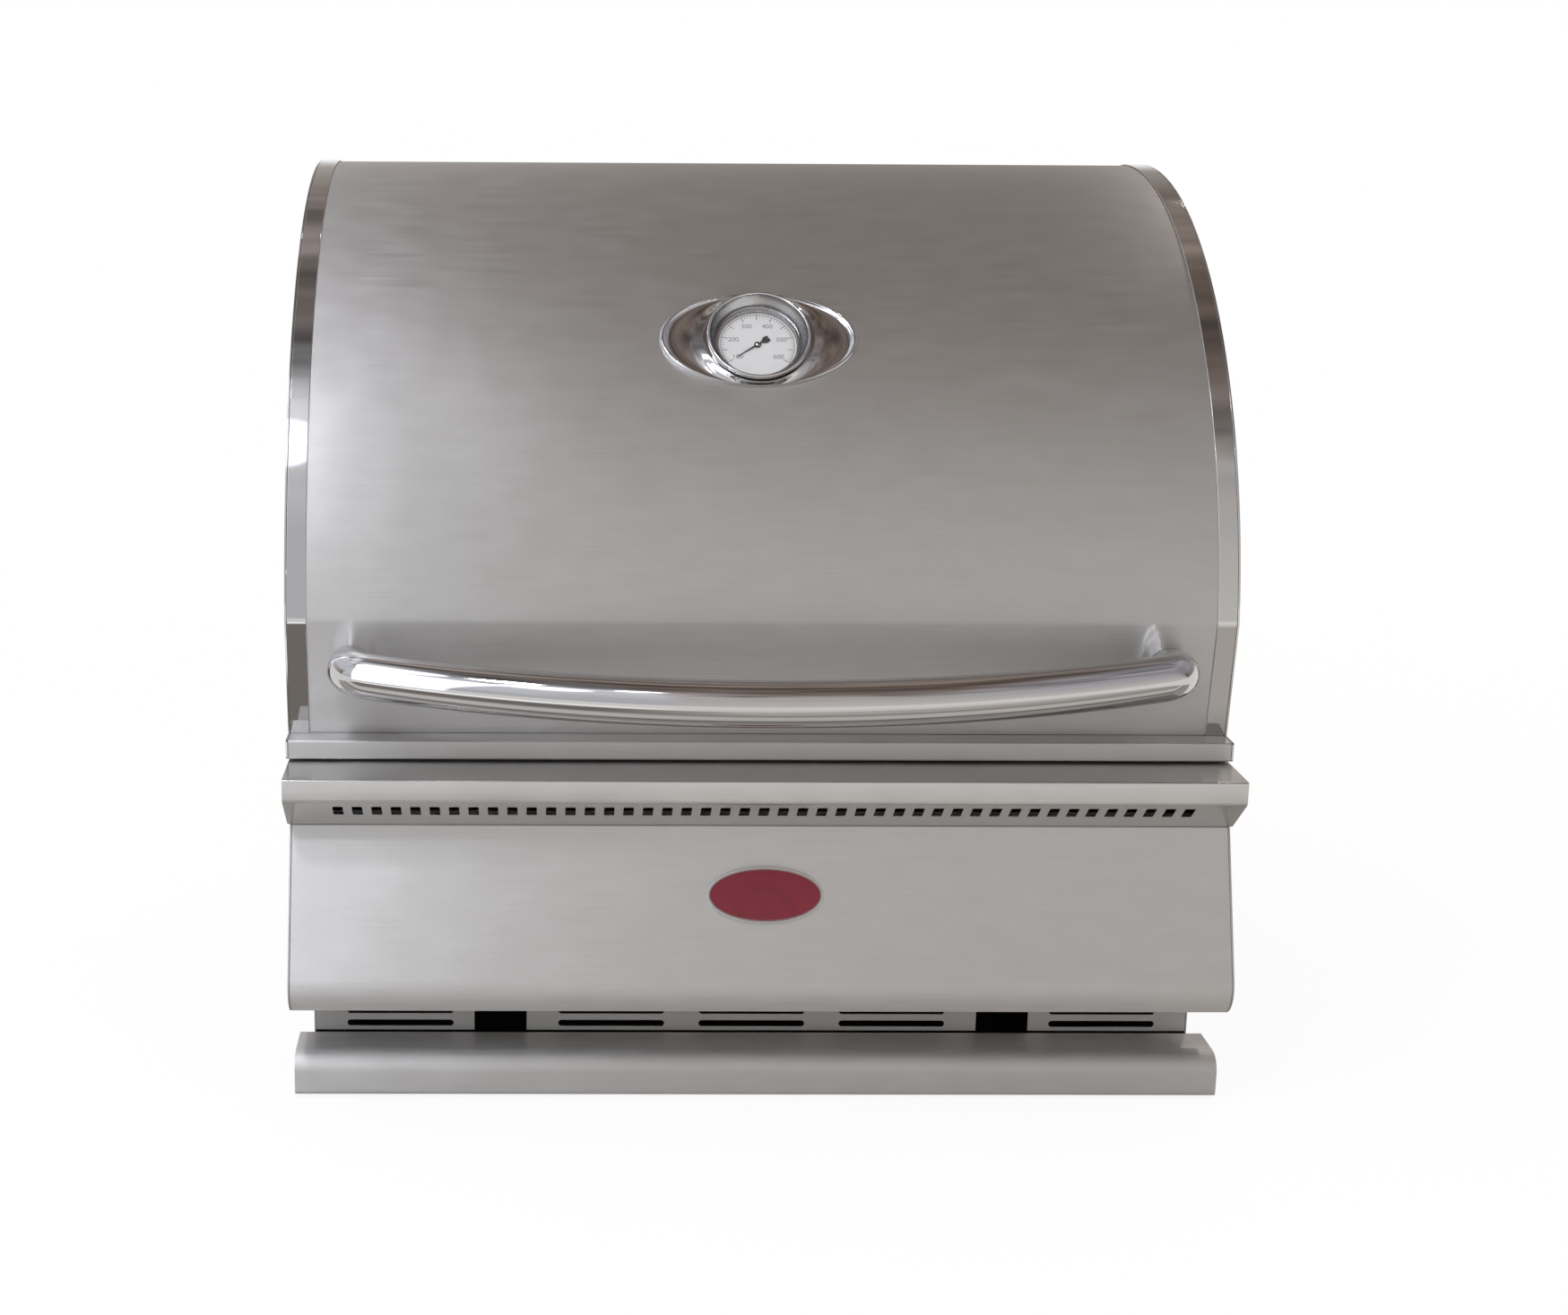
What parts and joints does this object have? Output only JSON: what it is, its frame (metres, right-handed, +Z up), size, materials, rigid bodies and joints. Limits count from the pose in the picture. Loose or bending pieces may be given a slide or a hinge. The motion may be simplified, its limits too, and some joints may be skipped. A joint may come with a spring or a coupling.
{
  "type": "built-in charcoal grill",
  "caption": "Drop-in charcoal grill with a curved stainless hood on rear hinges, bowed tube handle, slotted front rail, lift-out grates, charcoal tray and slide-out ash tray.",
  "frame": {"origin": "centre of the base's flat underside, midway between the flange's front and rear edges", "axes": "+X to the right of someone standing in front, +Y from the front to the back, +Z up"},
  "size_m": [0.797, 0.6714, 0.7652],
  "materials": {
    "brushed_stainless": "brushed along the width",
    "polished_stainless": "polished",
    "plain_stainless": "mill finish",
    "firebox_stainless": "dull, heat resistant",
    "red_enamel": "gloss enamel",
    "white_dial": "matt white",
    "black_needle": "matt black",
    "clear_glass": "clear"
  },
  "bodies": {
    "base": {"side_panel_left": "brushed_stainless", "side_panel_right": "brushed_stainless", "back_panel": "brushed_stainless", "floor_pan": "plain_stainless", "deck_left": "brushed_stainless", "deck_right": "brushed_stainless", "deck_rear": "brushed_stainless", "rear_upstand": "brushed_stainless", "vent_rail": "brushed_stainless", "fascia": "brushed_stainless", "fascia_end_left": "brushed_stainless", "fascia_end_right": "brushed_stainless", "front_wall": "brushed_stainless", "emblem_rim": "polished_stainless", "emblem_inlay": "red_enamel", "firebox_front": "firebox_stainless", "firebox_back": "firebox_stainless", "firebox_left": "firebox_stainless", "firebox_right": "firebox_stainless", "grate_ledge_front": "firebox_stainless", "grate_ledge_back": "firebox_stainless", "tray_pin_left_front": "plain_stainless", "tray_pin_left_back": "plain_stainless", "tray_pin_right_front": "plain_stainless", "tray_pin_right_back": "plain_stainless", "runner_left": "plain_stainless", "runner_right": "plain_stainless", "hinge_bracket_left": "plain_stainless", "hinge_bracket_right": "plain_stainless", "hinge_pin_left": "plain_stainless", "hinge_pin_right": "plain_stainless", "hood_rest_left": "plain_stainless", "hood_rest_right": "plain_stainless"},
    "hood": {"hood_skin": "brushed_stainless", "hood_end_left": "polished_stainless", "hood_end_right": "polished_stainless", "hood_trim_left": "polished_stainless", "hood_trim_right": "polished_stainless", "hood_lip": "brushed_stainless", "handle_tube": "polished_stainless", "handle_bolt_left": "plain_stainless", "handle_bolt_right": "plain_stainless", "gauge_plate": "polished_stainless", "gauge_case": "polished_stainless", "gauge_dial": "white_dial", "gauge_lens": "clear_glass", "gauge_stem": "plain_stainless", "gauge_nut": "plain_stainless"},
    "needle": {"gauge_needle": "black_needle"},
    "ash_drawer": {"ash_tray": "plain_stainless", "ash_tray_front": "brushed_stainless"},
    "charcoal": {"charcoal_tray": "firebox_stainless", "charcoal_handle_left": "plain_stainless", "charcoal_handle_right": "plain_stainless"},
    "grate_left": {"cooking_grate_left": "firebox_stainless"},
    "grate_right": {"cooking_grate_right": "firebox_stainless"}
  },
  "joints": [
    {"name": "hood_hinge", "type": "hinge", "parent": "base", "child": "hood", "pos_m": [0, 0.277, 0.306], "axis": [-1, 0, 0], "range_deg": [0, 85]},
    {"name": "needle_turn", "type": "hinge", "parent": "hood", "child": "needle", "pos_m": [0, -0.1472, 0.62681], "axis": [0, 0.749, -0.6626], "range_deg": [0, 250], "stiffness_Nm_per_rad": 0.004},
    {"name": "ash_tray_slide", "type": "slide", "parent": "base", "child": "ash_drawer", "axis": [0, -1, 0], "range_m": [0, 0.42]},
    {"name": "charcoal_tray_lift", "type": "slide", "parent": "base", "child": "charcoal", "axis": [0, 0, 1], "range_m": [0, 0.09]},
    {"name": "grate_left_lift", "type": "slide", "parent": "base", "child": "grate_left", "axis": [0, 0, 1], "range_m": [0, 0.06]},
    {"name": "grate_right_lift", "type": "slide", "parent": "base", "child": "grate_right", "axis": [0, 0, 1], "range_m": [0, 0.06]}
  ]
}
